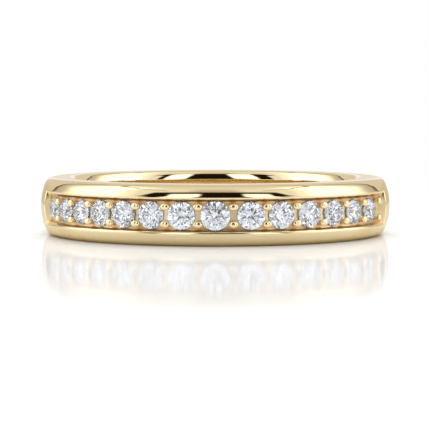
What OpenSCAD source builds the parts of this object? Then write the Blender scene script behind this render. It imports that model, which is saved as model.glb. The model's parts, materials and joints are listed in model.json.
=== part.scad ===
// Half eternity ring: a domed gold band with a row of round brilliants
// bead-set in a channel across its front. It lies on its side, so the
// finger hole runs along Z, and the middle of the row faces -Y.

/* [Band] */
// Outside diameter of the band, across the crown of its dome
outer_d = 21; // [20.6:0.1:22]
// Diameter of the finger hole
finger_d = 16.9; // [16:0.1:17.2]
// Width of the band, which is its height as it lies
band_w = 3.4; // [3.2:0.1:4]
// Radius of the domed outside face across the band
dome_r = 3.6; // [3:0.1:6]
// Radius of the rounded shoulders at both outer edges
shoulder_r = 0.55; // [0.4:0.05:0.7]
// Radius of the gentle curve at both ends of the finger hole
comfort_r = 1.1; // [0.8:0.05:1.3]
// Radius of the rim that turns that curve over into the flat sides
rim_r = 0.3; // [0.2:0.02:0.4]
// Slope at which the gentle curve passes into the rim
rim_a = 22; // [15:1:30]

/* [Channel] */
// Width of the channel at its mouth
channel_w = 1.88; // [1.78:0.02:1.9]
// Width of the channel's floor, between the sloped side cuts
floor_w = 1.56; // [1.46:0.02:1.6]
// Depth of the floor below the crown of the dome
channel_depth = 0.33; // [0.31:0.01:0.36]
// Angle from the middle of the row to each end wall
channel_end_a = 73; // [73:0.5:80]
// Lean of the end walls away from the row
end_lean_a = 15; // [10:1:20]

/* [Stones] */
// Diameter of the middle stone
middle_stone_d = 1.63; // [1.5:0.01:1.64]
// Diameter of the stones next to the middle one
side_stone_d = 1.56; // [1.5:0.01:1.57]
// How much smaller each next stone is, towards both ends
stone_taper = 0.036; // [0.034:0.002:0.04]
// Angle from the middle stone to the first stone on the left
left_first_a = 10.55; // [10.5:0.05:10.8]
// Angle from that stone to the next one on the left
left_step_a = 9.8; // [9.8:0.05:9.9]
// How much smaller each further angle on the left is
left_closing_a = 0.3; // [0.28:0.01:0.31]
// Angle from the middle stone to the first stone on the right
right_first_a = 11.05; // [10.8:0.05:11.2]
// Angle from that stone to the next one on the right
right_step_a = 9.85; // [9.8:0.05:9.9]
// How much smaller each further angle on the right is
right_closing_a = 0.04; // [0:0.01:0.1]
// Space between a stone and its seat
seat_gap = 0.02; // [0.015:0.005:0.03]

/* [Brilliant cut] */
// Width of the table as a share of the stone's diameter
table_share = 0.56; // [0.53:0.01:0.62]
// Slope of the crown's main facets
crown_a = 34.5; // [32:0.5:36]
// Slope of the pavilion's main facets
pavilion_a = 41; // [40:0.5:41]
// Height of the girdle as a share of the stone's diameter
girdle_share = 0.03; // [0.02:0.005:0.035]
// Reach of the star facets from the table to the girdle, as a share
star_share = 0.5; // [0.45:0.05:0.55]
// Reach of the lower girdle facets towards the culet, as a share
lower_half_share = 0.77; // [0.7:0.01:0.8]

/* [Grain beads] */
// Width of a bead along the row
bead_w = 0.46; // [0.42:0.01:0.46]
// Thickness of a bead across the row
bead_t = 0.38; // [0.34:0.01:0.38]
// Distance of a bead's middle from the middle of the channel
bead_offset = 0.48; // [0.48:0.01:0.5]
// Height of a bead's middle above the channel's floor
bead_lift = 0.2; // [0.2:0.01:0.22]
// Angle to the two beads past the last stone on the right
end_bead_a = 66.3; // [66:0.1:68]

/* [Hidden] */
NODES = ["band",
    "stone_01", "stone_02", "stone_03", "stone_04", "stone_05", "stone_06", "stone_07",
    "stone_08", "stone_09", "stone_10", "stone_11", "stone_12", "stone_13", "stone_14"];
$fn = 96;

gold = "#dcc391";
diamond = "#e9edf2";

stone_count = len(NODES) - 1;
middle_stone = 7;                       // its place in the row, counted from 0
outer_r = outer_d / 2;
finger_r = finger_d / 2;
mid_z = band_w / 2;
clear = 1;                              // how far a cutter runs past the metal

// The dome's arc has its centre at dome_c. The shoulder arcs touch it from
// inside, so their centres lie dome_r - shoulder_r away from that centre.
dome_c = outer_r - dome_r;
shoulder_c = dome_c + sqrt(pow(dome_r - shoulder_r, 2) - pow(mid_z - shoulder_r, 2));
shoulder_a = atan2(mid_z - shoulder_r, shoulder_c - dome_c);

// Inside, the straight wall of the hole ends at comfort_z. The gentle curve
// and the rim's arc meet at rim_start, where both slope by rim_a.
rim_c = finger_r + comfort_r - (comfort_r - rim_r) * cos(rim_a);
comfort_z = band_w - rim_r - (comfort_r - rim_r) * sin(rim_a);
rim_start = [finger_r + comfort_r * (1 - cos(rim_a)), comfort_z + comfort_r * sin(rim_a)];

floor_r = outer_r - channel_depth;
channel_mouth_r = dome_c + sqrt(pow(dome_r, 2) - pow(channel_w / 2, 2));

// A stone's girdle lies just over the floor, so that its table is level with
// the crown of the dome.
girdle_lift = 0.05;
girdle_r = floor_r + girdle_lift;
seat_relief_a = 1.5;                    // how much steeper a seat is than the pavilion
seat_slope = tan(pavilion_a + seat_relief_a);
seat_point_r = 0.06;                    // radius of the flat end of a seat's cone
bead_stem_r = 0.15;
bead_root = 0.1;                        // how far a stem reaches into the floor
end_block = 4;                          // side of the blocks that shape the end walls
end_run_a = 3;                          // how far the cut runs on into those blocks

// Angle of the stone that lies n + 1 places from the middle one
function side_a(first, step, closing, n) = first + step * n - closing * n * (n - 1) / 2;

// Angle of stone i, from the middle of the row towards the right
function stone_a(i) =
    i < middle_stone ? -side_a(left_first_a, left_step_a, left_closing_a, middle_stone - 1 - i)
    : i > middle_stone ? side_a(right_first_a, right_step_a, right_closing_a, i - middle_stone - 1)
    : 0;

function stone_d(i) =
    i == middle_stone ? middle_stone_d
    : side_stone_d - stone_taper * (abs(i - middle_stone) - 1);

// Angle of each pair of beads: one pair after each stone, the last one free
function bead_a(i) =
    i < stone_count - 1 ? (stone_a(i) + stone_a(i + 1)) / 2 : end_bead_a;

// A ring of n points of radius r at height z, turned by a
function ring_points(n, r, z, a = 0) =
    [for (k = [0:n - 1]) [r * cos(a + k * 360 / n), r * sin(a + k * 360 / n), z]];

// Sets its children on the band: +Z points out of the channel and +Y is up.
module on_band(angle, radius) {
    rotate([0, 0, angle])
        translate([0, -radius, mid_z])
            rotate([90, 0, 0])
                children();
}

// The upper edge of the finger hole: a gentle curve, then the rim
module hole_edge() {
    far = 2 * comfort_r;
    translate([rim_c, band_w - rim_r]) circle(r = rim_r);
    translate([finger_r + comfort_r, comfort_z])
        intersection() {
            circle(r = comfort_r);
            polygon([[0, 0], [-far, 0], [-far * cos(rim_a), far * sin(rim_a)]]);
        }
    polygon([
        [finger_r, mid_z],
        [finger_r, comfort_z],
        rim_start,
        [rim_c, band_w - rim_r],
        [rim_c, band_w],
        [shoulder_c, band_w],
        [shoulder_c, mid_z]
    ]);
}

// Half of the band's cross-section: X is the radius and Y the height
module band_section() {
    far = 2 * dome_r;
    hole_edge();
    translate([0, band_w]) mirror([0, 1]) hole_edge();
    for (z = [shoulder_r, band_w - shoulder_r])
        translate([shoulder_c, z]) circle(r = shoulder_r);
    intersection() {
        translate([dome_c, mid_z]) circle(r = dome_r);
        polygon([
            [shoulder_c, shoulder_r],
            [dome_c + far * cos(shoulder_a), mid_z - far * sin(shoulder_a)],
            [dome_c + far * cos(shoulder_a), mid_z + far * sin(shoulder_a)],
            [shoulder_c, band_w - shoulder_r]
        ]);
    }
}

// The room cut out for the row: a floor between two sloped side cuts, and an
// end wall at each end, which leans away from the row
module channel_cut() {
    half_floor = floor_w / 2;
    half_mouth = channel_w / 2;
    run_a = channel_end_a + end_run_a;
    difference() {
        rotate([0, 0, -90 - run_a])
            rotate_extrude(angle = 2 * run_a, $fn = 180)
                translate([0, mid_z])
                    polygon([
                        [floor_r, -half_floor],
                        [channel_mouth_r, -half_mouth],
                        [outer_r + clear, -half_mouth],
                        [outer_r + clear, half_mouth],
                        [channel_mouth_r, half_mouth],
                        [floor_r, half_floor]
                    ]);
        for (side = [-1, 1])
            on_band(side * channel_end_a, outer_r)
                rotate([0, side * end_lean_a, 0])
                    translate([side > 0 ? 0 : -end_block, -end_block / 2, -end_block / 2])
                        cube(end_block);
    }
}

// The seat of a stone: a bore for its girdle over a cone for its pavilion
module seat_cut(d) {
    r = d / 2 + seat_gap;
    cone_h = (r - seat_point_r) * seat_slope;
    translate([0, 0, -seat_gap]) {
        cylinder(h = channel_depth + clear, r = r);
        translate([0, 0, -cone_h]) cylinder(h = cone_h, r1 = seat_point_r, r2 = r);
    }
}

// A grain bead: a round-ended bar along the row, on a stem in the floor
module bead() {
    r = bead_t / 2;
    half_bar = bead_w / 2 - r;
    translate([0, 0, -bead_root]) cylinder(h = bead_root + bead_lift, r = bead_stem_r, $fn = 32);
    translate([0, 0, bead_lift])
        rotate([0, 90, 0])
            rotate_extrude($fn = 48)
                intersection() {
                    union() {
                        translate([0, -half_bar]) square([r, 2 * half_bar]);
                        for (end = [-half_bar, half_bar]) translate([0, end]) circle(r = r, $fn = 48);
                    }
                    translate([0, -bead_w]) square([bead_w, 2 * bead_w]);
                }
}

module band() {
    color(gold) {
        difference() {
            rotate_extrude($fn = 360) band_section();
            channel_cut();
            for (i = [0:stone_count - 1]) on_band(stone_a(i), girdle_r) seat_cut(stone_d(i));
        }
        for (i = [0:stone_count - 1], side = [-1, 1])
            on_band(bead_a(i), floor_r) translate([0, side * bead_offset, 0]) bead();
    }
}

// A round brilliant with its girdle's lower edge at Z 0 and its table up.
// Main facets meet the girdle at every even point, half facets between them.
module brilliant(d) {
    a = d / 2;
    sides = 8;
    half = 360 / sides / 2;
    girdle_h = girdle_share * d;
    table_r = table_share * a;
    crown_h = (a - table_r) * tan(crown_a);
    table_flat_r = table_r * cos(half);
    star_r = table_flat_r + (a - table_flat_r) * star_share;
    lower_r = a * (1 - lower_half_share);
    // heights on the main facets, at the points where their edges meet
    star_z = (a - star_r * cos(half)) * tan(crown_a);
    lower_z = (a - lower_r * cos(half)) * tan(pavilion_a);
    points = concat(
        [[0, 0, -a * tan(pavilion_a)]],
        ring_points(sides, lower_r, -lower_z, half),
        ring_points(2 * sides, a, 0),
        ring_points(2 * sides, a, girdle_h),
        ring_points(sides, star_r, girdle_h + star_z, half),
        ring_points(sides, table_r, girdle_h + crown_h)
    );
    // first point of each ring, in the order of the list above
    lower = 1;
    under = lower + sides;
    over = under + 2 * sides;
    star = over + 2 * sides;
    table = star + sides;
    faces = concat(
        [[for (j = [sides - 1:-1:0]) table + j]],
        [for (j = [0:sides - 1]) let (n = (j + 1) % sides)
            [table + j, table + n, star + j]],
        [for (j = [0:sides - 1]) let (p = (j + sides - 1) % sides)
            [table + j, star + j, over + 2 * j, star + p]],
        [for (j = [0:sides - 1])
            [star + j, over + 2 * j + 1, over + 2 * j]],
        [for (j = [0:sides - 1]) let (n = (j + 1) % sides)
            [star + j, over + 2 * n, over + 2 * j + 1]],
        [for (k = [0:2 * sides - 1]) let (n = (k + 1) % (2 * sides))
            [under + k, over + k, over + n, under + n]],
        [for (j = [0:sides - 1])
            [lower + j, under + 2 * j, under + 2 * j + 1]],
        [for (j = [0:sides - 1]) let (n = (j + 1) % sides)
            [lower + j, under + 2 * j + 1, under + 2 * n]],
        [for (j = [0:sides - 1]) let (p = (j + sides - 1) % sides)
            [0, lower + p, under + 2 * j, lower + j]]
    );
    polyhedron(points = points, faces = faces);
}

// Stone i of the row, set with one of its main facets towards each side of the band
module stone(i) {
    color(diamond) on_band(stone_a(i), girdle_r) brilliant(stone_d(i));
}

band();
for (i = [0:stone_count - 1])
    stone(i);
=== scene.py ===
# %% [markdown]
# A half eternity ring lies on its side on a white card. The real one is a cast
# and polished band of yellow gold, with a row of round brilliants that are held
# by small grain beads in a channel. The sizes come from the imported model, which
# stays fixed here: this script only gives the ring its finished surfaces, its
# gold and its diamonds, and then a camera and a soft studio light.

# %% Load the model
import json
import math

import bmesh
import bpy
from mathutils import Matrix, Vector


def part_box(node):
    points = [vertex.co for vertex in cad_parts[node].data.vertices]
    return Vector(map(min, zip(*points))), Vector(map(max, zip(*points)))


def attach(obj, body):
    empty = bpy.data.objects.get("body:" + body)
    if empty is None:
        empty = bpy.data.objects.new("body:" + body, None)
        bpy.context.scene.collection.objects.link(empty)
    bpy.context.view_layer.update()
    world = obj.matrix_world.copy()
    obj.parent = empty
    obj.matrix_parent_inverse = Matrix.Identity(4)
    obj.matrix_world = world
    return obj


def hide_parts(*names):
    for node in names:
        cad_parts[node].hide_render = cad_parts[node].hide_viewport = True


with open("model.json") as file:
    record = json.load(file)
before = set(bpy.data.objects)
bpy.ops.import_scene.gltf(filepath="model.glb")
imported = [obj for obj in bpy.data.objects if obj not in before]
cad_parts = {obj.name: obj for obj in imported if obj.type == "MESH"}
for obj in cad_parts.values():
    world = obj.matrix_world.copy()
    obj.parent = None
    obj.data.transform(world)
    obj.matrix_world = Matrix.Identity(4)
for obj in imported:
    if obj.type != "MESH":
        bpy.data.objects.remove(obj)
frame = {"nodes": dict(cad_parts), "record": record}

MM = 0.001
QUARTER = math.pi / 2
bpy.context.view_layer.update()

# %% [markdown]
# The band and the row can be measured on the model, so their sizes aren't typed
# again. The box gives the outside radius and the width, the mount gives the
# finger hole, and each stone's own box gives its place and its diameter.
# Angles run from the middle of the row, which faces -Y, towards +X.

# %% Measure the band and the row
OUTER_R, _, BAND_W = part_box("band")[1]
MID_Z = BAND_W / 2
hole = next(m for m in frame["record"]["mounts"] if m["name"] == "finger_hole")
FINGER_R = hole["dims"]["r_mm"] * MM
SAME_HEIGHT = 0.001 * MM       # two heights as near as this are one
stone_names = sorted(name for name in frame["nodes"] if name.startswith("stone_"))


def stone_place(name):
    """Angle, girdle radius from the ring's axis, and diameter of a stone.

    Its highest and lowest points are corners of the girdle.
    """
    points = [v.co for v in frame["nodes"][name].data.vertices]
    low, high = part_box(name)
    girdle = [p for p in points if min(abs(p.z - high.z), abs(p.z - low.z)) < SAME_HEIGHT]
    middle = sum(girdle, Vector()) / len(girdle)
    girdle_r = min(p.xy.length for p in girdle)
    return math.atan2(middle.x, -middle.y), girdle_r, high.z - low.z


row = [stone_place(name) for name in stone_names]
for name, (angle, girdle_r, diameter) in zip(stone_names, row):
    print(f"{name}: {math.degrees(angle):7.2f} degrees, girdle at {girdle_r / MM:.3f} mm,"
          f" {diameter / MM:.3f} mm across")

# %% [markdown]
# A ring's band is a section turned round the finger, so it is a lathe job. The
# section is drawn for the upper half alone, and the lower half mirrors it. It
# runs from the wall of the finger hole over the comfort curve, the rim, the flat
# side, the shoulder and the dome down into the channel. The radii come first,
# and the arcs' centres follow from them, because each arc touches the next.

# %% The section's measures
DOME_R = 3.6 * MM
SHOULDER_R = 0.55 * MM
COMFORT_R = 1.1 * MM           # the curve that lets the ring slide over the knuckle
RIM_R = 0.3 * MM
RIM_A = math.radians(22)       # where the comfort curve ends and the rim begins
HALF_MOUTH = 0.94 * MM         # half the channel's width at the dome
HALF_FLOOR = 0.78 * MM         # and at its floor
FLOOR_R = OUTER_R - 0.33 * MM
LIP_R = 0.15 * MM              # the burnished edge of the channel's mouth
FOOT_R = 0.15 * MM             # the hollow that the graver leaves along the floor

DOME_C = OUTER_R - DOME_R
SHOULDER_C = DOME_C + math.sqrt((DOME_R - SHOULDER_R) ** 2 - (MID_Z - SHOULDER_R) ** 2)
SHOULDER_A = math.atan2(MID_Z - SHOULDER_R, SHOULDER_C - DOME_C)
RIM_C = FINGER_R + COMFORT_R - (COMFORT_R - RIM_R) * math.cos(RIM_A)
COMFORT_Z = BAND_W - RIM_R - (COMFORT_R - RIM_R) * math.sin(RIM_A)
print(f"flat from {RIM_C / MM:.3f} to {SHOULDER_C / MM:.3f} mm from the axis,"
      f" domed up to {math.degrees(SHOULDER_A):.1f} degrees")


def dome_at(z):
    """Radius of the domed outside face at height z."""
    return DOME_C + math.sqrt(DOME_R ** 2 - (z - MID_Z) ** 2)


# %% [markdown]
# The points of a curve could be worked out one by one, but an operator does it:
# spin carries the last point round the arc's centre, and joins the points that
# it leaves behind. So the curves are true, and one call draws each of them.

# %% A line that takes curves
class Section:
    """An open line of points in the XZ plane, drawn from end to end."""

    def __init__(self, mesh, x, z):
        self.mesh = mesh
        self.points = [mesh.verts.new((x, 0, z))]

    def line(self, x, z, cuts):
        """Goes straight to (x, z), with so many points on the way."""
        start = self.points[-1].co.copy()
        for k in range(1, cuts + 2):
            point = self.mesh.verts.new(start.lerp(Vector((x, 0, z)), k / (cuts + 1)))
            self.mesh.edges.new((self.points[-1], point))
            self.points.append(point)

    def arc(self, x, z, angle, steps):
        """Turns the last point round (x, z). A positive angle turns X towards Z."""
        bmesh.ops.spin(
            self.mesh, geom=[self.points[-1]], cent=(x, 0, z), axis=(0, -1, 0),
            angle=angle, steps=steps, use_duplicate=False)
        self.mesh.verts.ensure_lookup_table()
        self.points += self.mesh.verts[-steps:]


# %% [markdown]
# Where the dome breaks off into the channel, the setter's burnisher has turned
# the edge into a thin bright roll. A bevel could round it at the end, but by then
# the seats have cut the edge into short pieces. So the roll belongs to the
# section, as an arc that touches both the dome, from inside, and the channel's
# side cut. Its centre is found by halving, because a formula for it is long.

# %% Place the lip
HALVINGS = 60                  # enough for the last digit
DEEPEST = 1.0 * MM             # the centre lies less far down the side cut than this


def lip_arc():
    """The lip's centre and the angles at which it leaves the dome and meets the side cut."""
    mouth = Vector((dome_at(MID_Z + HALF_MOUTH), MID_Z + HALF_MOUTH))
    floor = Vector((FLOOR_R, MID_Z + HALF_FLOOR))
    along = (mouth - floor).normalized()
    metal = Vector((-along.y, along.x))
    low, high = 0.0, DEEPEST
    for _ in range(HALVINGS):
        back = (low + high) / 2
        centre = mouth - along * back + metal * LIP_R
        if (centre - Vector((DOME_C, MID_Z))).length > DOME_R - LIP_R:
            low = back
        else:
            high = back
    outward = centre - Vector((DOME_C, MID_Z))
    return centre, math.atan2(outward.y, outward.x), math.atan2(-metal.y, -metal.x)


lip_c, leave_a, meet_a = lip_arc()
print(f"the lip turns by {math.degrees(leave_a - meet_a):.1f} degrees")

# %% [markdown]
# With its measures known, the half section is one line. Its straight stretches
# get a few points too. The channel's floor needs them, because it bends up to
# the dome at its two ends.

# %% Draw the half section
# The edges of each arc, and the points inside each straight stretch
EDGES = {"comfort": 8, "rim": 10, "shoulder": 14, "dome": 6, "lip": 9, "foot": 8}
CUTS = {"bore": 3, "side": 2, "side cut": 1, "floor": 5}


def draw_half_section(mesh):
    """From the middle of the finger hole's wall to the middle of the channel's floor."""
    line = Section(mesh, FINGER_R, MID_Z)
    line.line(FINGER_R, COMFORT_Z, CUTS["bore"])
    line.arc(FINGER_R + COMFORT_R, COMFORT_Z, -RIM_A, EDGES["comfort"])
    line.arc(RIM_C, BAND_W - RIM_R, RIM_A - QUARTER, EDGES["rim"])
    line.line(SHOULDER_C, BAND_W, CUTS["side"])
    line.arc(SHOULDER_C, BAND_W - SHOULDER_R, SHOULDER_A - QUARTER, EDGES["shoulder"])
    line.arc(DOME_C, MID_Z, leave_a - SHOULDER_A, EDGES["dome"])
    lip_start = len(line.points) - 1
    line.arc(lip_c.x, lip_c.y, meet_a - leave_a, EDGES["lip"])
    lean = QUARTER + meet_a
    foot = FOOT_R * math.tan((QUARTER - lean) / 2)
    corner = Vector((FLOOR_R, MID_Z + HALF_FLOOR))
    start = corner + Vector((math.cos(lean), math.sin(lean))) * foot
    line.line(start.x, start.y, CUTS["side cut"])
    line.arc(FLOOR_R + FOOT_R, corner.y - foot, QUARTER - lean, EDGES["foot"])
    line.line(FLOOR_R, MID_Z, CUTS["floor"])
    return line.points, lip_start


trial = bmesh.new()
points, lip_start = draw_half_section(trial)
lip_z = points[lip_start].co.z - MID_Z
print(f"the half section has {len(points)} points, {lip_start} of them before the lip")
print(f"the lip leaves the dome {lip_z / MM:.3f} mm from the middle")
trial.free()

# %% [markdown]
# At each end the channel closes with a wall, which leans away from the row and
# has a small rounding at its top. A boolean would cut the same room, but its
# edges would stay knife sharp, and polished metal never is: its light comes from
# such roundings. So the wall is made of rows of the sweep. From each to the next
# the section turns a little, and its channel rises by a share of its depth.

# %% The rows of an end wall
CHANNEL_END_A = math.radians(73)
END_LEAN_A = math.radians(15)
WALL_EDGE_R = 0.1 * MM
WALL_EDGE_STEPS = 6


def end_wall_rows():
    """Turn from the row before, and share of the way up, for each row of an end wall."""
    depth = OUTER_R - FLOOR_R
    back = WALL_EDGE_R * math.tan((QUARTER - END_LEAN_A) / 2)
    centre = Vector((depth * math.tan(END_LEAN_A) + back, depth - WALL_EDGE_R))
    path = [Vector((0, 0))]
    for k in range(WALL_EDGE_STEPS + 1):
        a = math.pi - END_LEAN_A - (QUARTER - END_LEAN_A) * k / WALL_EDGE_STEPS
        path.append(centre + WALL_EDGE_R * Vector((math.cos(a), math.sin(a))))
    return [((q.x - p.x) / OUTER_R, q.y / depth) for p, q in zip(path, path[1:])]


wall = end_wall_rows()
wall_turn = sum(turn for turn, share in wall)
print(f"an end wall has {len(wall)} rows over {math.degrees(wall_turn):.2f} degrees")

# %% [markdown]
# A wall's points rise from their first place to the dome. They also close in on
# the lip as they rise, so the side cut keeps its slope and meets the wall in a
# mitre. Each point carries its first place in two layers of the mesh, and the
# sweep copies them along with it.

# %% Raise the channel to the dome
CLOSING = 0.95                 # how far the side cut closes in, as a share


def raise_points(profile, first_place, share):
    """Moves the channel's points from their first place towards the dome."""
    corner = HALF_FLOOR + (lip_z - HALF_FLOOR) * CLOSING * share
    for point in (item for item in profile if isinstance(item, bmesh.types.BMVert)):
        first_r, first_z = point[first_place[0]], point[first_place[1]]
        if first_r > 0:
            if first_z > HALF_FLOOR:
                z = first_z + (lip_z - first_z) * CLOSING * share
            else:
                z = first_z * corner / HALF_FLOOR
            point.co.z = MID_Z + z
            r = first_r + (dome_at(point.co.z) - first_r) * share
            point.co.xy = point.co.xy.normalized() * r


# %% [markdown]
# The sweep runs once round the finger: along the channel, up one end wall, round
# the plain back and down the other wall. A full spin would be one call, but it
# can't change the section on its way, so the turn is cut into stretches. Then
# the half band is mirrored, and the points that meet are merged.

# %% Sweep the band
CHANNEL_STEPS = 96
PLAIN_STEPS = 144
MERGE = 0.0005 * MM


def sweep(mesh, profile, angle, steps):
    """Carries a row of edges round the ring's axis, and returns the row at its end."""
    out = bmesh.ops.spin(
        mesh, geom=profile, cent=(0, 0, 0), axis=(0, 0, 1), angle=angle, steps=steps,
        use_duplicate=False)
    return out["geom_last"]


def sweep_half(mesh):
    """Draws the half section at the channel's end and takes it once round."""
    first_place = [mesh.verts.layers.float.new(name) for name in ("first_r", "first_z")]
    points, lip_start = draw_half_section(mesh)
    for point in points[lip_start + 1:]:
        point[first_place[0]] = point.co.x
        point[first_place[1]] = point.co.z - MID_Z
    floor_end_a = CHANNEL_END_A - (OUTER_R - FLOOR_R) * math.tan(END_LEAN_A) / OUTER_R
    start = Matrix.Rotation(floor_end_a - QUARTER, 3, "Z")
    bmesh.ops.rotate(mesh, verts=mesh.verts, cent=(0, 0, 0), matrix=start)

    last = sweep(mesh, mesh.verts[:] + mesh.edges[:], -2 * floor_end_a, CHANNEL_STEPS)
    for turn, share in wall:
        last = sweep(mesh, last, -turn, 1)
        raise_points(last, first_place, share)
    last = sweep(mesh, last, 2 * (wall_turn - math.pi + floor_end_a), PLAIN_STEPS)
    shares = [0.0] + [share for turn, share in wall]
    for k in reversed(range(len(wall))):
        last = sweep(mesh, last, -wall[k][0], 1)
        raise_points(last, first_place, shares[k])
    bmesh.ops.remove_doubles(mesh, verts=mesh.verts, dist=MERGE)


def whole_band():
    """Mirrors the half band in the plane across the middle of its width."""
    mesh = bmesh.new()
    sweep_half(mesh)
    bmesh.ops.translate(mesh, verts=mesh.verts, vec=(0, 0, -MID_Z))
    everything = mesh.verts[:] + mesh.edges[:] + mesh.faces[:]
    bmesh.ops.mirror(mesh, geom=everything, axis="Z", merge_dist=MERGE)
    bmesh.ops.translate(mesh, verts=mesh.verts, vec=(0, 0, MID_Z))
    bmesh.ops.remove_doubles(mesh, verts=mesh.verts, dist=MERGE)
    bmesh.ops.recalc_face_normals(mesh, faces=mesh.faces)
    return mesh


def new_object(name, mesh):
    """Turns a bmesh into an object at the origin."""
    data = bpy.data.meshes.new(name)
    mesh.to_mesh(data)
    mesh.free()
    made = bpy.data.objects.new(name, data)
    bpy.context.scene.collection.objects.link(made)
    return made


band = new_object("gold_band", whole_band())
print(f"the band has {len(band.data.polygons)} faces")

# %% [markdown]
# The seats and the beads are both modelled upright at the origin and then set on
# the band, so one matrix serves both. A boolean modifier makes the cut or the
# join, and its result becomes the band's mesh. The exact solver is slower than
# the fast one, but it leaves a closed surface where curved faces cross.

# %% Set tools on the band
def on_band(angle, radius):
    """Places a piece on the band: its Z points out of the channel and its Y is up."""
    along = Vector((math.cos(angle), math.sin(angle), 0))
    out = Vector((math.sin(angle), -math.cos(angle), 0))
    turn = Matrix((along, Vector((0, 0, 1)), out)).transposed().to_4x4()
    return Matrix.Translation(out * radius + Vector((0, 0, MID_Z))) @ turn


def combine(target, tool, operation):
    """Cuts or joins with a boolean, and keeps the result as the target's mesh."""
    step = target.modifiers.new("combine", "BOOLEAN")
    step.operation = operation
    step.solver = "EXACT"
    step.object = tool
    shown = target.evaluated_get(bpy.context.evaluated_depsgraph_get())
    result = bpy.data.meshes.new_from_object(shown)
    target.modifiers.clear()
    old = target.data
    target.data = result
    result.name = old.name + "_made"
    bpy.data.meshes.remove(old)
    bpy.data.objects.remove(tool)


# %% [markdown]
# A setter opens a seat for each stone with a bur: a bore for the girdle with a
# cone under it for the pavilion. The bur is modelled as such, a cone whose top
# face is extruded to clear the metal, and a boolean takes it away from the band.
# Its bore runs out through the side cuts, which gives the channel's edges their
# scalloped line.

# %% Cut the seats
GIRDLE_R = min(girdle_r for angle, girdle_r, diameter in row)
SEAT_GAP = 0.02 * MM           # a real stone touches its seat
SEAT_SLOPE = math.tan(math.radians(42.5))
SEAT_POINT_R = 0.06 * MM
SEAT_SIDES = 64


def add_seat(mesh, angle, diameter):
    r = diameter / 2 + SEAT_GAP
    cone_h = (r - SEAT_POINT_R) * SEAT_SLOPE
    made = bmesh.ops.create_cone(
        mesh, cap_ends=True, cap_tris=False, segments=SEAT_SIDES,
        radius1=SEAT_POINT_R, radius2=r, depth=cone_h,
        matrix=Matrix.Translation((0, 0, -cone_h / 2 - SEAT_GAP)))
    points = set(made["verts"])
    faces = [face for face in mesh.faces if set(face.verts) <= points]
    top = max(faces, key=lambda face: face.calc_center_median().z)
    bore = bmesh.ops.extrude_face_region(mesh, geom=[top])
    risen = [item for item in bore["geom"] if isinstance(item, bmesh.types.BMVert)]
    bmesh.ops.translate(mesh, verts=risen, vec=(0, 0, OUTER_R - GIRDLE_R + SEAT_GAP))
    bmesh.ops.delete(mesh, geom=[top], context="FACES_ONLY")
    points.update(risen)
    bmesh.ops.transform(mesh, verts=list(points), matrix=on_band(angle, GIRDLE_R))


burs = bmesh.new()
for angle, girdle_r, diameter in row:
    add_seat(burs, angle, diameter)
bmesh.ops.recalc_face_normals(burs, faces=burs.faces)
combine(band, new_object("burs", burs), "DIFFERENCE")
print(f"{len(row)} seats cut, the band has {len(band.data.polygons)} faces")

# %% [markdown]
# Between two stones the setter raises a grain of gold at each side of the row
# with a graver, pushes it over both girdles, and rounds it with a hollow beading
# tool. So a grain is a low dome, longer along the row than across, on a narrower
# neck. A sphere has that form once it is stretched: its upper half is the dome,
# its lower half draws in under the girdles' level, and the lowest rings are
# pulled down into the floor as the neck.

# %% Raise the grain beads
BEAD_HALF_W = 0.26 * MM        # along the row
BEAD_HALF_T = 0.195 * MM       # across it
BEAD_DOME_H = 0.12 * MM
BEAD_LIFT = 0.25 * MM          # from the channel's floor to the dome's foot
BEAD_NECK = 0.7                # how far down the lower half the neck begins, as a share
BEAD_ROOT = 0.08 * MM          # how deep the neck goes into the floor
BEAD_OFFSET = 0.475 * MM       # from the middle of the row
BEAD_ROUND, BEAD_TALL = 32, 24
END_BEAD_A = math.radians(66.3)  # the last pair, after the last stone at the right

angles = [angle for angle, girdle_r, diameter in row]
bead_angles = [(a + b) / 2 for a, b in zip(angles, angles[1:])] + [END_BEAD_A]


def add_bead(mesh, angle, side):
    made = bmesh.ops.create_uvsphere(
        mesh, u_segments=BEAD_ROUND, v_segments=BEAD_TALL, radius=1)
    points = made["verts"]
    above = [p for p in points if p.co.z >= 0]
    below = [p for p in points if p.co.z < 0]
    neck = [p for p in points if p.co.z < -BEAD_NECK]
    bmesh.ops.scale(mesh, verts=points, vec=(BEAD_HALF_W, BEAD_HALF_T, 1))
    bmesh.ops.scale(mesh, verts=above, vec=(1, 1, BEAD_DOME_H))
    bmesh.ops.scale(mesh, verts=below, vec=(1, 1, BEAD_LIFT))
    bmesh.ops.translate(mesh, verts=neck, vec=(0, 0, -BEAD_ROOT))
    place = on_band(angle, FLOOR_R) @ Matrix.Translation((0, side * BEAD_OFFSET, BEAD_LIFT))
    bmesh.ops.transform(mesh, verts=points, matrix=place)


beads = bmesh.new()
for angle in bead_angles:
    for side in (-1, 1):
        add_bead(beads, angle, side)
bmesh.ops.recalc_face_normals(beads, faces=beads.faces)
combine(band, new_object("beads", beads), "UNION")
print(f"{2 * len(bead_angles)} beads raised, the band has {len(band.data.polygons)} faces")

# %% [markdown]
# Polish flows over every gentle turn of the metal, so the band is shaded smooth.
# Only the edges that a bur or a graver has just cut stay crisp, and the angle
# between their two faces tells them from the rest.

# %% Shade the band
SHARP_A = math.radians(30)
band.data.shade_smooth()
band.data.set_sharp_from_angle(angle=SHARP_A)
sharp = sum(edge.use_edge_sharp for edge in band.data.edges)
print(f"{sharp} of {len(band.data.edges)} edges stay sharp")

# %% [markdown]
# A finish is a small graph of shader nodes. One function adds a node, with its
# settings and its inputs. Colours are picked as sRGB hex values, which is how a
# screen shows them, while the renderer works with linear light, so one function
# converts them.

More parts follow.
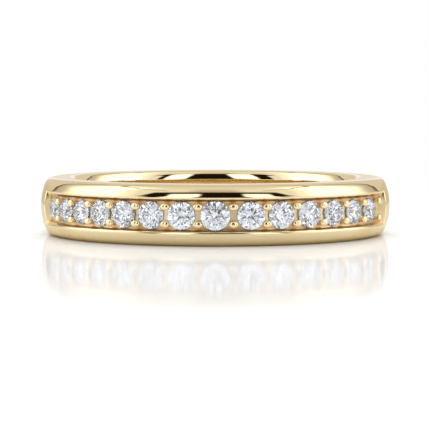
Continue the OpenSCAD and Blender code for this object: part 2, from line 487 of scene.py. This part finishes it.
# %% Helpers for finishes
def linear(hex_colour):
    """An sRGB hex colour as linear red, green, blue and alpha."""
    screen = [int(hex_colour[k:k + 2], 16) / 255 for k in (1, 3, 5)]
    light = [c / 12.92 if c <= 0.04045 else ((c + 0.055) / 1.055) ** 2.4 for c in screen]
    return light + [1.0]


def add_node(tree, kind, settings=None, inputs=None):
    """Adds a shader node. Another node's output is linked, and any other value is set."""
    node = tree.nodes.new("ShaderNode" + kind)
    for name, value in (settings or {}).items():
        setattr(node, name, value)
    for name, value in (inputs or {}).items():
        if isinstance(value, bpy.types.NodeSocket):
            tree.links.new(value, node.inputs[name])
        else:
            node.inputs[name].default_value = value
    return node


def new_material(name):
    made = bpy.data.materials.new(name)
    made.use_nodes = True
    made.node_tree.nodes.clear()
    return made


# %% [markdown]
# The polishing wheel doesn't reach into the channel, so there the gold stays
# satin, which is a rougher finish. Its tint there is painted shade: darker and
# browner than the polish, and browner still towards the side walls, behind the
# beads, where shade gathers in the channel's corners. The finger hole's wall is
# painted a shade paler, as painted light: it keeps the light that is thrown round
# the hole from turning a deep orange. One could paint these zones by hand. Here
# each is worked out from the band's own sizes: how far a point lies from the
# axis, from the middle of the width and under the dome.

# %% The zones of the gold
SATIN_DEPTH = 0.05 * MM        # how far under the dome the wheel still reaches
SATIN_HALF = HALF_MOUTH + 0.02 * MM
SATIN_END_Y = -3.1 * MM        # the end walls lie behind this, and are bright
SATIN_R = FINGER_R + 0.3 * MM  # and so is the finger hole
UNSHADED_HALF = 0.5 * MM          # half of the width without painted corner shade
BORE_R = FINGER_R + 0.01 * MM
SOFT_SIDE = 0.02 * MM          # how softly each zone ends
SOFT_END = 0.2 * MM
SOFT_CORNER_SHADE = 0.15 * MM


def zone(tree, *limits):
    """1 inside a zone, 0 outside. A limit is a source, where it gives 0 and where 1."""
    inside = None
    for source, zero, one in limits:
        within = add_node(
            tree, "MapRange", {}, {"Value": source, "From Min": zero, "From Max": one})
        if inside is not None:
            within = add_node(
                tree, "Math", {"operation": "MULTIPLY"}, {0: inside, 1: within.outputs[0]})
        inside = within.outputs[0]
    return inside


def gold_zones(tree, place):
    """The rougher channel and its corners, both painted darker as shade, and the finger
    hole's wall, painted paler as light.
    """
    way = add_node(tree, "SeparateXYZ", {}, {"Vector": place})
    flat = add_node(tree, "VectorMath", {"operation": "MULTIPLY"}, {0: place, 1: (1, 1, 0)})
    length = add_node(tree, "VectorMath", {"operation": "LENGTH"}, {0: flat.outputs[0]})
    radius = length.outputs["Value"]
    turned = add_node(tree, "CombineXYZ", {}, {"X": radius, "Z": way.outputs["Z"]})
    from_dome = add_node(
        tree, "VectorMath", {"operation": "DISTANCE"},
        {0: turned.outputs["Vector"], 1: (DOME_C, 0, MID_Z)})
    off_middle = add_node(
        tree, "Math", {"operation": "SUBTRACT"}, {0: way.outputs["Z"], 1: MID_Z})
    distance = add_node(tree, "Math", {"operation": "ABSOLUTE"}, {0: off_middle.outputs[0]})
    across = distance.outputs[0]
    # The rougher zone in the channel, which also gets a darker tint as painted shade.
    satin_and_shade = zone(
        tree,
        (from_dome.outputs["Value"], DOME_R - SATIN_DEPTH, DOME_R - 2 * SATIN_DEPTH),
        (across, SATIN_HALF, SATIN_HALF - SOFT_SIDE),
        (way.outputs["Y"], SATIN_END_Y, SATIN_END_Y - SOFT_END),
        (radius, SATIN_R, SATIN_R + SOFT_END))
    # Painted shade in the channel's corners, near its side walls and behind the beads.
    corner_shade = zone(tree, (across, UNSHADED_HALF, UNSHADED_HALF + SOFT_CORNER_SHADE))
    # Painted light: the finger hole's wall is tinted paler.
    bore = zone(tree, (radius, BORE_R + SOFT_SIDE, BORE_R))
    return satin_and_shade, corner_shade, bore


# %% [markdown]
# The band is 14 carat yellow gold: gold with copper and silver, cast, then
# polished with rouge on a soft wheel. A metal has no colour under its surface, so
# the base colour is the tint of its reflections, which is a pale warm yellow. The
# polish leaves a fine haze of hairlines, some micrometres apart. They are too
# fine to show, so they are drawn at 0.15 mm, as a change in roughness.

# %% Polished yellow gold
HAZE_SIZE = 0.15 * MM
HAZE_ROUGH = (0.02, 0.06)
SATIN_ROUGH = 0.3
# Painted light and shade: a paler tint on the finger hole's wall, a darker one in the
# channel, and a darker, browner one in the channel's corners.
POLISHED, LIGHTENED_BORE = linear("#f7e3b6"), linear("#f0e4c8")
CHANNEL_SHADE, CORNER_SHADE = linear("#e8d5b0"), linear("#cfae82")


def polished_gold():
    made = new_material("polished_14k_yellow_gold")
    tree = made.node_tree
    place = add_node(tree, "TexCoord").outputs["Object"]
    satin_and_shade, corner_shade, bore = gold_zones(tree, place)
    # A Mix node has sockets for each kind of data: 2 and 3 take numbers, 6 and 7 colours.
    # Painted light: the polished gold, with a paler tint on the finger hole's wall.
    skin = add_node(tree, "Mix", {"data_type": "RGBA"}, {0: bore, 6: POLISHED, 7: LIGHTENED_BORE})
    # Painted shade: the channel darker, and its corners darker and browner still.
    channel = add_node(tree, "Mix", {"data_type": "RGBA"}, {0: corner_shade, 6: CHANNEL_SHADE, 7: CORNER_SHADE})
    tint = add_node(
        tree, "Mix", {"data_type": "RGBA"},
        {0: satin_and_shade, 6: skin.outputs[2], 7: channel.outputs[2]})
    haze = add_node(
        tree, "TexNoise", {},
        {"Vector": place, "Scale": 1 / HAZE_SIZE, "Detail": 2.0, "Roughness": 0.6})
    shine = add_node(
        tree, "MapRange", {},
        {"Value": haze.outputs["Fac"], "To Min": HAZE_ROUGH[0], "To Max": HAZE_ROUGH[1]})
    roughness = add_node(
        tree, "Mix", {"data_type": "FLOAT"}, {0: satin_and_shade, 2: shine.outputs[0], 3: SATIN_ROUGH})
    metal = add_node(
        tree, "BsdfPrincipled", {},
        {"Base Color": tint.outputs[2], "Metallic": 1.0, "Roughness": roughness.outputs[0],
         "Specular Tint": linear("#f3ede2")})
    add_node(tree, "OutputMaterial", {}, {"Surface": metal.outputs["BSDF"]})
    return made


gold = polished_gold()
band.data.materials.clear()
band.data.materials.append(gold)
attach(band, "root")
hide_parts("band")
print(f"{gold.name}: {len(gold.node_tree.nodes)} nodes")

# %% [markdown]
# The stones are diamonds. Their look comes from the cut alone: a diamond bends
# light more than any other common stone, with an index of 2.417, so what comes in
# through the crown is thrown back by the pavilion. The facets are on the model
# already, and they stay as they are. The finish is a clear glass with that index
# and a breath of blue, because the photo's stones look cool in all that gold.
#
# A cutter polishes the facets and leaves the girdle ground, so it is rough. Its
# faces are the only ones that point away from the stone's axis at a right angle,
# and each stone's axis runs straight out from the ring's. A second material on
# those faces would do too, but here the shader compares the two directions, and
# the model's faces are left alone.

# %% Diamond
DIAMOND_IOR = 2.417
GROUND_ROUGH = 0.5
GIRDLE_DOT, FACET_DOT = 0.2, 0.4  # a girdle face gives less than these, a facet more


def diamond():
    made = new_material("colourless_diamond")
    tree = made.node_tree
    place = add_node(tree, "TexCoord").outputs["Object"]
    facing = add_node(tree, "NewGeometry").outputs["True Normal"]
    flat = add_node(tree, "VectorMath", {"operation": "MULTIPLY"}, {0: place, 1: (1, 1, 0)})
    out = add_node(tree, "VectorMath", {"operation": "NORMALIZE"}, {0: flat.outputs[0]})
    dot = add_node(
        tree, "VectorMath", {"operation": "DOT_PRODUCT"}, {0: facing, 1: out.outputs[0]})
    size = add_node(tree, "Math", {"operation": "ABSOLUTE"}, {0: dot.outputs["Value"]})
    ground = add_node(
        tree, "MapRange", {},
        {"Value": size.outputs[0], "From Min": FACET_DOT, "From Max": GIRDLE_DOT,
         "To Max": GROUND_ROUGH})
    glass = add_node(
        tree, "BsdfPrincipled", {},
        {"Base Color": linear("#eef4ff"), "Metallic": 0.0, "IOR": DIAMOND_IOR,
         "Transmission Weight": 1.0, "Roughness": ground.outputs[0]})
    add_node(tree, "OutputMaterial", {}, {"Surface": glass.outputs["BSDF"]})
    return made


stone_finish = diamond()
for name in stone_names:
    frame["nodes"][name].data.materials.clear()
    frame["nodes"][name].data.materials.append(stone_finish)
print(f"{stone_finish.name} on {len(stone_names)} stones")

# %% [markdown]
# The ring lies on glossy white card: matt white fibre under a thin clear coat.
# The coat mirrors most at low angles, and a node works out how much from its
# index. A real coat isn't quite smooth, so only a part of that share is used, and
# the mirror image is blurred. The card is a plain sheet as wide as a table, and
# it ends a little behind the ring, where the photo turns to pure white.

# %% The white card
CARD_W = 1000 * MM
CARD_L = 540 * MM
CARD_BACK = 40 * MM            # its back edge, behind the ring's axis
COAT_IOR = 1.45
COAT_SHARE = 0.55
COAT_ROUGH = 0.08


def white_card():
    made = new_material("glossy_white_card")
    tree = made.node_tree
    matt = add_node(tree, "BsdfDiffuse", {}, {"Color": linear("#f6f6f6")})
    coat = add_node(tree, "BsdfGlossy", {}, {"Color": (1, 1, 1, 1), "Roughness": COAT_ROUGH})
    gloss = add_node(tree, "Fresnel", {}, {"IOR": COAT_IOR})
    share = add_node(
        tree, "Math", {"operation": "MULTIPLY"}, {0: gloss.outputs["Fac"], 1: COAT_SHARE})
    both = add_node(
        tree, "MixShader", {},
        {0: share.outputs[0], 1: matt.outputs["BSDF"], 2: coat.outputs["BSDF"]})
    add_node(tree, "OutputMaterial", {}, {"Surface": both.outputs["Shader"]})
    return made


sheet = bmesh.new()
bmesh.ops.create_grid(sheet, x_segments=1, y_segments=1, size=0.5)
bmesh.ops.scale(sheet, verts=sheet.verts, vec=(CARD_W, CARD_L, 1))
bmesh.ops.translate(sheet, verts=sheet.verts, vec=(0, CARD_BACK - CARD_L / 2, 0))
card = new_object("white_card", sheet)
card.data.materials.append(white_card())
print(f"the card is {CARD_W / MM:.0f} by {CARD_L / MM:.0f} mm")

# %% [markdown]
# Polished gold has hardly any look of its own: it shows the room. So the light
# is built as a photographer of jewellery would set it, and the reflections on
# the band were followed back to find out how. A reflection tells a direction but
# no distance, so the room is drawn on the world by direction. Area lights and
# real cards would do too, but each would need a place.
#
# Two angles in degrees name a direction: azimuth runs from the camera's side, -Y,
# towards +X, and height runs up from the horizon. Aside is the azimuth without
# its sign, because the room is nearly the same at both sides.

# %% Directions round the ring
DEGREES = 180 / math.pi

world = bpy.data.worlds.new("studio_tent")
bpy.context.scene.world = world
world.use_nodes = True
studio = world.node_tree
studio.nodes.clear()

direction = add_node(studio, "TexCoord").outputs["Generated"]
way = add_node(studio, "SeparateXYZ", {}, {"Vector": direction})
front = add_node(studio, "Math", {"operation": "MULTIPLY"}, {0: way.outputs["Y"], 1: -1.0})
turned = add_node(
    studio, "Math", {"operation": "ARCTAN2"}, {0: way.outputs["X"], 1: front.outputs[0]})
raised = add_node(studio, "Math", {"operation": "ARCSINE"}, {0: way.outputs["Z"]})
azimuth, height = (
    add_node(
        studio, "Math", {"operation": "MULTIPLY"}, {0: a.outputs[0], 1: DEGREES}).outputs[0]
    for a in (turned, raised))
aside = add_node(studio, "Math", {"operation": "ABSOLUTE"}, {0: azimuth}).outputs[0]
print(f"{world.name}: {len(studio.nodes)} nodes for the directions")

# %% [markdown]
# The panels' edges are straight on the real cards, but few of them look level or
# upright from the ring. So most edges follow an angle of their own, which is one
# of the two angles with a share of the other added to it.

# %% Leaning edges
CARD_SAG = 0.0021              # the black card is close, so its ends look lower
CARD_LEAN = 0.2                # its upright edges lean in
TAPER_LEAN = 1.2               # and its upper corners run out to points
SEAM_LEAN = -0.6
SEAM_HEIGHT = 16.0             # the tent's seam stands furthest forward at this height,
SEAM_END = 20.0                # and is upright again this far above and below it
FRAME_LEAN = -0.33             # the tent's frame climbs along a side panel,
FRAME_LEVEL = 86.0             # is level after this,
FRAME_BACK = 135.0             # and climbs again behind the ring
FRAME_BACK_LEAN = -0.3


def lean(source, other, share):
    """An angle with a share of another one added to it."""
    part = add_node(studio, "Math", {"operation": "MULTIPLY"}, {0: other, 1: share})
    both = add_node(studio, "Math", {"operation": "ADD"}, {0: source, 1: part.outputs[0]})
    return both.outputs[0]


square = add_node(studio, "Math", {"operation": "MULTIPLY"}, {0: aside, 1: aside})
rise = lean(height, square.outputs[0], CARD_SAG)
edge = lean(aside, height, CARD_LEAN)
taper = lean(aside, height, TAPER_LEAN)

over = add_node(studio, "Math", {"operation": "SUBTRACT"}, {0: height, 1: SEAM_HEIGHT})
far = add_node(studio, "Math", {"operation": "ABSOLUTE"}, {0: over.outputs[0]})
near = add_node(studio, "Math", {"operation": "MINIMUM"}, {0: far.outputs[0], 1: SEAM_END})
seam = lean(aside, near.outputs[0], SEAM_LEAN)

climb = add_node(studio, "Math", {"operation": "MINIMUM"}, {0: aside, 1: FRAME_LEVEL})
past = add_node(studio, "Math", {"operation": "SUBTRACT"}, {0: aside, 1: FRAME_BACK})
behind = add_node(studio, "Math", {"operation": "MAXIMUM"}, {0: past.outputs[0], 1: 0.0})
frame_side = lean(height, climb.outputs[0], FRAME_LEAN)
frame_top = lean(frame_side, behind.outputs[0], FRAME_BACK_LEAN)
print(f"{world.name}: {len(studio.nodes)} nodes with the leaning edges")

# %% [markdown]
# The ring stands in a pale tent with a large bright panel at each side. A black
# card in front, with two windows cut in it, draws the dark lines that give gold
# its contrast. Each panel is laid over those before it. Its light is 1 where matt
# white would just turn white in the picture, and each of its masks is a band
# between two angles, with the softness of both edges.

# %% Helpers for the panels
def between(source, low, high, soft_low, soft_high=None):
    """1 between two angles and 0 beyond, with edges that are so many degrees soft."""
    soft_high = soft_low if soft_high is None else soft_high
    steps = [
        add_node(
            studio, "MapRange", {"interpolation_type": "SMOOTHSTEP"},
            {"Value": source, "From Min": at - soft / 2, "From Max": at + soft / 2})
        for at, soft in ((low, soft_low), (high, soft_high))]
    return add_node(
        studio, "Math", {"operation": "SUBTRACT"},
        {0: steps[0].outputs[0], 1: steps[1].outputs[0]}).outputs[0]


def lay(under, light, *masks):
    """Lays a panel's light over what is under it, where all the masks are 1."""
    mask = masks[0]
    for other in masks[1:]:
        both = add_node(studio, "Math", {"operation": "MULTIPLY"}, {0: mask, 1: other})
        mask = both.outputs[0]
    return add_node(
        studio, "Mix", {"data_type": "RGBA"},
        {0: mask, 6: under, 7: (*light, 1.0)}).outputs[2]


def white(light):
    """The same light in red, green and blue."""
    return (light, light, light)


# %% [markdown]
# The list goes from the far panels to the near ones. The lower parts stand for
# the table round the white card, which is a warm white. The strip of backdrop is
# what the white card mirrors to the camera, so it makes the floor's white.

# %% Draw the tent
BELOW, BEHIND = -90, 181       # beyond any height and any azimuth
BLACK = (0.012, 0.008, 0.003)
WINDOW = white(1.88)

card_rows = between(rise, 2, 38.7, 4, 3)
window_rows = between(rise, 6, 35.6, 9, 3)
panels = (
    ("table", (0.75, 0.70, 0.62),
     between(height, BELOW, 8, 2, 14)),
    ("table behind the ring", (0.88, 0.83, 0.76),
     between(aside, 140, BEHIND, 20, 1), between(height, BELOW, 10, 2, 10)),
    ("shade beside the backdrop", (0.74, 0.68, 0.60),
     between(aside, 134, 169, 14, 5), between(height, BELOW, 7, 2, 8)),
    ("strip of backdrop", white(1.1),
     between(aside, 170, BEHIND, 4, 1), between(height, 3.2, 12, 0.6, 6)),
    ("dim front, where the camera stands", (0.60, 0.53, 0.51),
     between(aside, -1, 20, 1, 16), between(height, BELOW, 52, 2, 24)),
    ("front corners", white(0.92),
     between(aside, 20, 60, 16, 10), between(height, BELOW, 66, 2, 24)),
    ("side panels", white(1.15),
     between(aside, 59, 121, 8, 10), between(height, 2, 66, 6, 16)),
    ("glow in the side panels", white(1.85),
     between(aside, 69, 112, 10, 12), between(height, 4, 58, 8, 16)),
    ("fade at their far ends", white(0.55),
     between(seam, 121, 133, 18, 1), between(height, 4, 50, 6)),
    ("dark seam", (0.20, 0.17, 0.12),
     between(seam, 130, 133.8, 1.6), between(height, 3, 54, 6)),
    ("frame over the side panels", (0.50, 0.42, 0.32),
     between(frame_top, 27, 30, 1.6), between(aside, 37, 140, 6, 8)),
    ("frame behind the ring", (0.16, 0.13, 0.09),
     between(frame_top, 25, 30, 1.6), between(aside, 140, BEHIND, 8, 1)),
    ("black card", BLACK,
     card_rows, between(edge, -1, 52.3, 1, 3)),
    ("its pointed upper corners", BLACK,
     card_rows, between(taper, -1, 86.5, 1, 3), between(height, 25, 60, 2)),
    ("left window", WINDOW,
     between(azimuth, -60, 0, 1), between(edge, 17.7, 39.1, 5), window_rows),
    ("right window", WINDOW,
     between(azimuth, 0, 60, 1), between(edge, 26.9, 45.6, 5), window_rows))

room = (*white(0.80), 1.0)
for name, light, *masks in panels:
    room = lay(room, light, *masks)
    print(f"panel: {name}")

# %% [markdown]
# The backdrop is pure white to the camera. For matt surfaces the tent is an even
# fill, and the rest of their light comes from a large softbox overhead, which
# draws the soft shadow under the band. A sun lamp with a wide angle stands for
# it, and its place has no effect. It doesn't show in the gold or the stones,
# because the tent already has all that they mirror.

# %% Light the scene
FILL = white(0.45)
BACKDROP = white(1.0)
SOFTBOX_STRENGTH = 2.0
SOFTBOX_SPREAD = math.radians(60)
SOFTBOX_TILT = math.radians(-11)
SOFTBOX_PLACE = (0, 100 * MM, 490 * MM)

rays = add_node(studio, "LightPath")
room = lay(room, FILL, rays.outputs["Is Diffuse Ray"])
room = lay(room, BACKDROP, rays.outputs["Is Camera Ray"])
shine = add_node(studio, "Background", {}, {"Color": room})
add_node(studio, "OutputWorld", {}, {"Surface": shine.outputs["Background"]})

lamp = bpy.data.lights.new("overhead_softbox", "SUN")
lamp.energy = SOFTBOX_STRENGTH
lamp.angle = SOFTBOX_SPREAD
overhead = bpy.data.objects.new("overhead_softbox", lamp)
bpy.context.scene.collection.objects.link(overhead)
overhead.location = SOFTBOX_PLACE
overhead.rotation_euler = (SOFTBOX_TILT, 0, 0)
overhead.visible_glossy = False
overhead.visible_transmission = False
print(f"{world.name}: {len(studio.nodes)} nodes, {lamp.name}: strength {lamp.energy:.2f}")

# %% [markdown]
# The camera stands ten outside radii in front of the ring, and a little higher
# than its upper side, with a long lens. The other figures come from the photo and
# are in its pixels: the ellipses of the rims give the camera's height and the row
# of the horizon, and the ring's width gives the focal length.
#
# Light is thrown about many times between facets and in the channel, so its
# paths may be longer here than they are by default. With fewer bounces, the edges
# of the stones turn black.

# %% Camera
FRAME_PX = 430
FOCAL_PX = 1739.0
HORIZON_PX = 97.3              # from the frame's top
RING_X_PX = 215.3              # the ring's axis, from the frame's left side
SENSOR_MM = 36.0
CAMERA_AWAY = 10 * OUTER_R
CAMERA_Z = 0.778 * OUTER_R
CLIP_START = 5 * MM

camera_data = bpy.data.cameras.new("camera")
camera_data.sensor_width = SENSOR_MM
camera_data.lens = FOCAL_PX / FRAME_PX * SENSOR_MM
camera_data.clip_start = CLIP_START
camera = bpy.data.objects.new("camera", camera_data)
bpy.context.scene.collection.objects.link(camera)
camera.location = (0, -CAMERA_AWAY, CAMERA_Z)
pitch = math.atan((FRAME_PX / 2 - HORIZON_PX) / FOCAL_PX)
camera.rotation_euler = (QUARTER - pitch, 0, 0)
camera_data.shift_x = (FRAME_PX / 2 - RING_X_PX) / FRAME_PX
bpy.context.scene.camera = camera
bpy.context.scene.view_settings.view_transform = "Standard"
paths = bpy.context.scene.cycles
paths.max_bounces = 24
paths.glossy_bounces = 16
paths.transmission_bounces = 24
print(f"the camera looks down by {math.degrees(pitch):.2f} degrees")
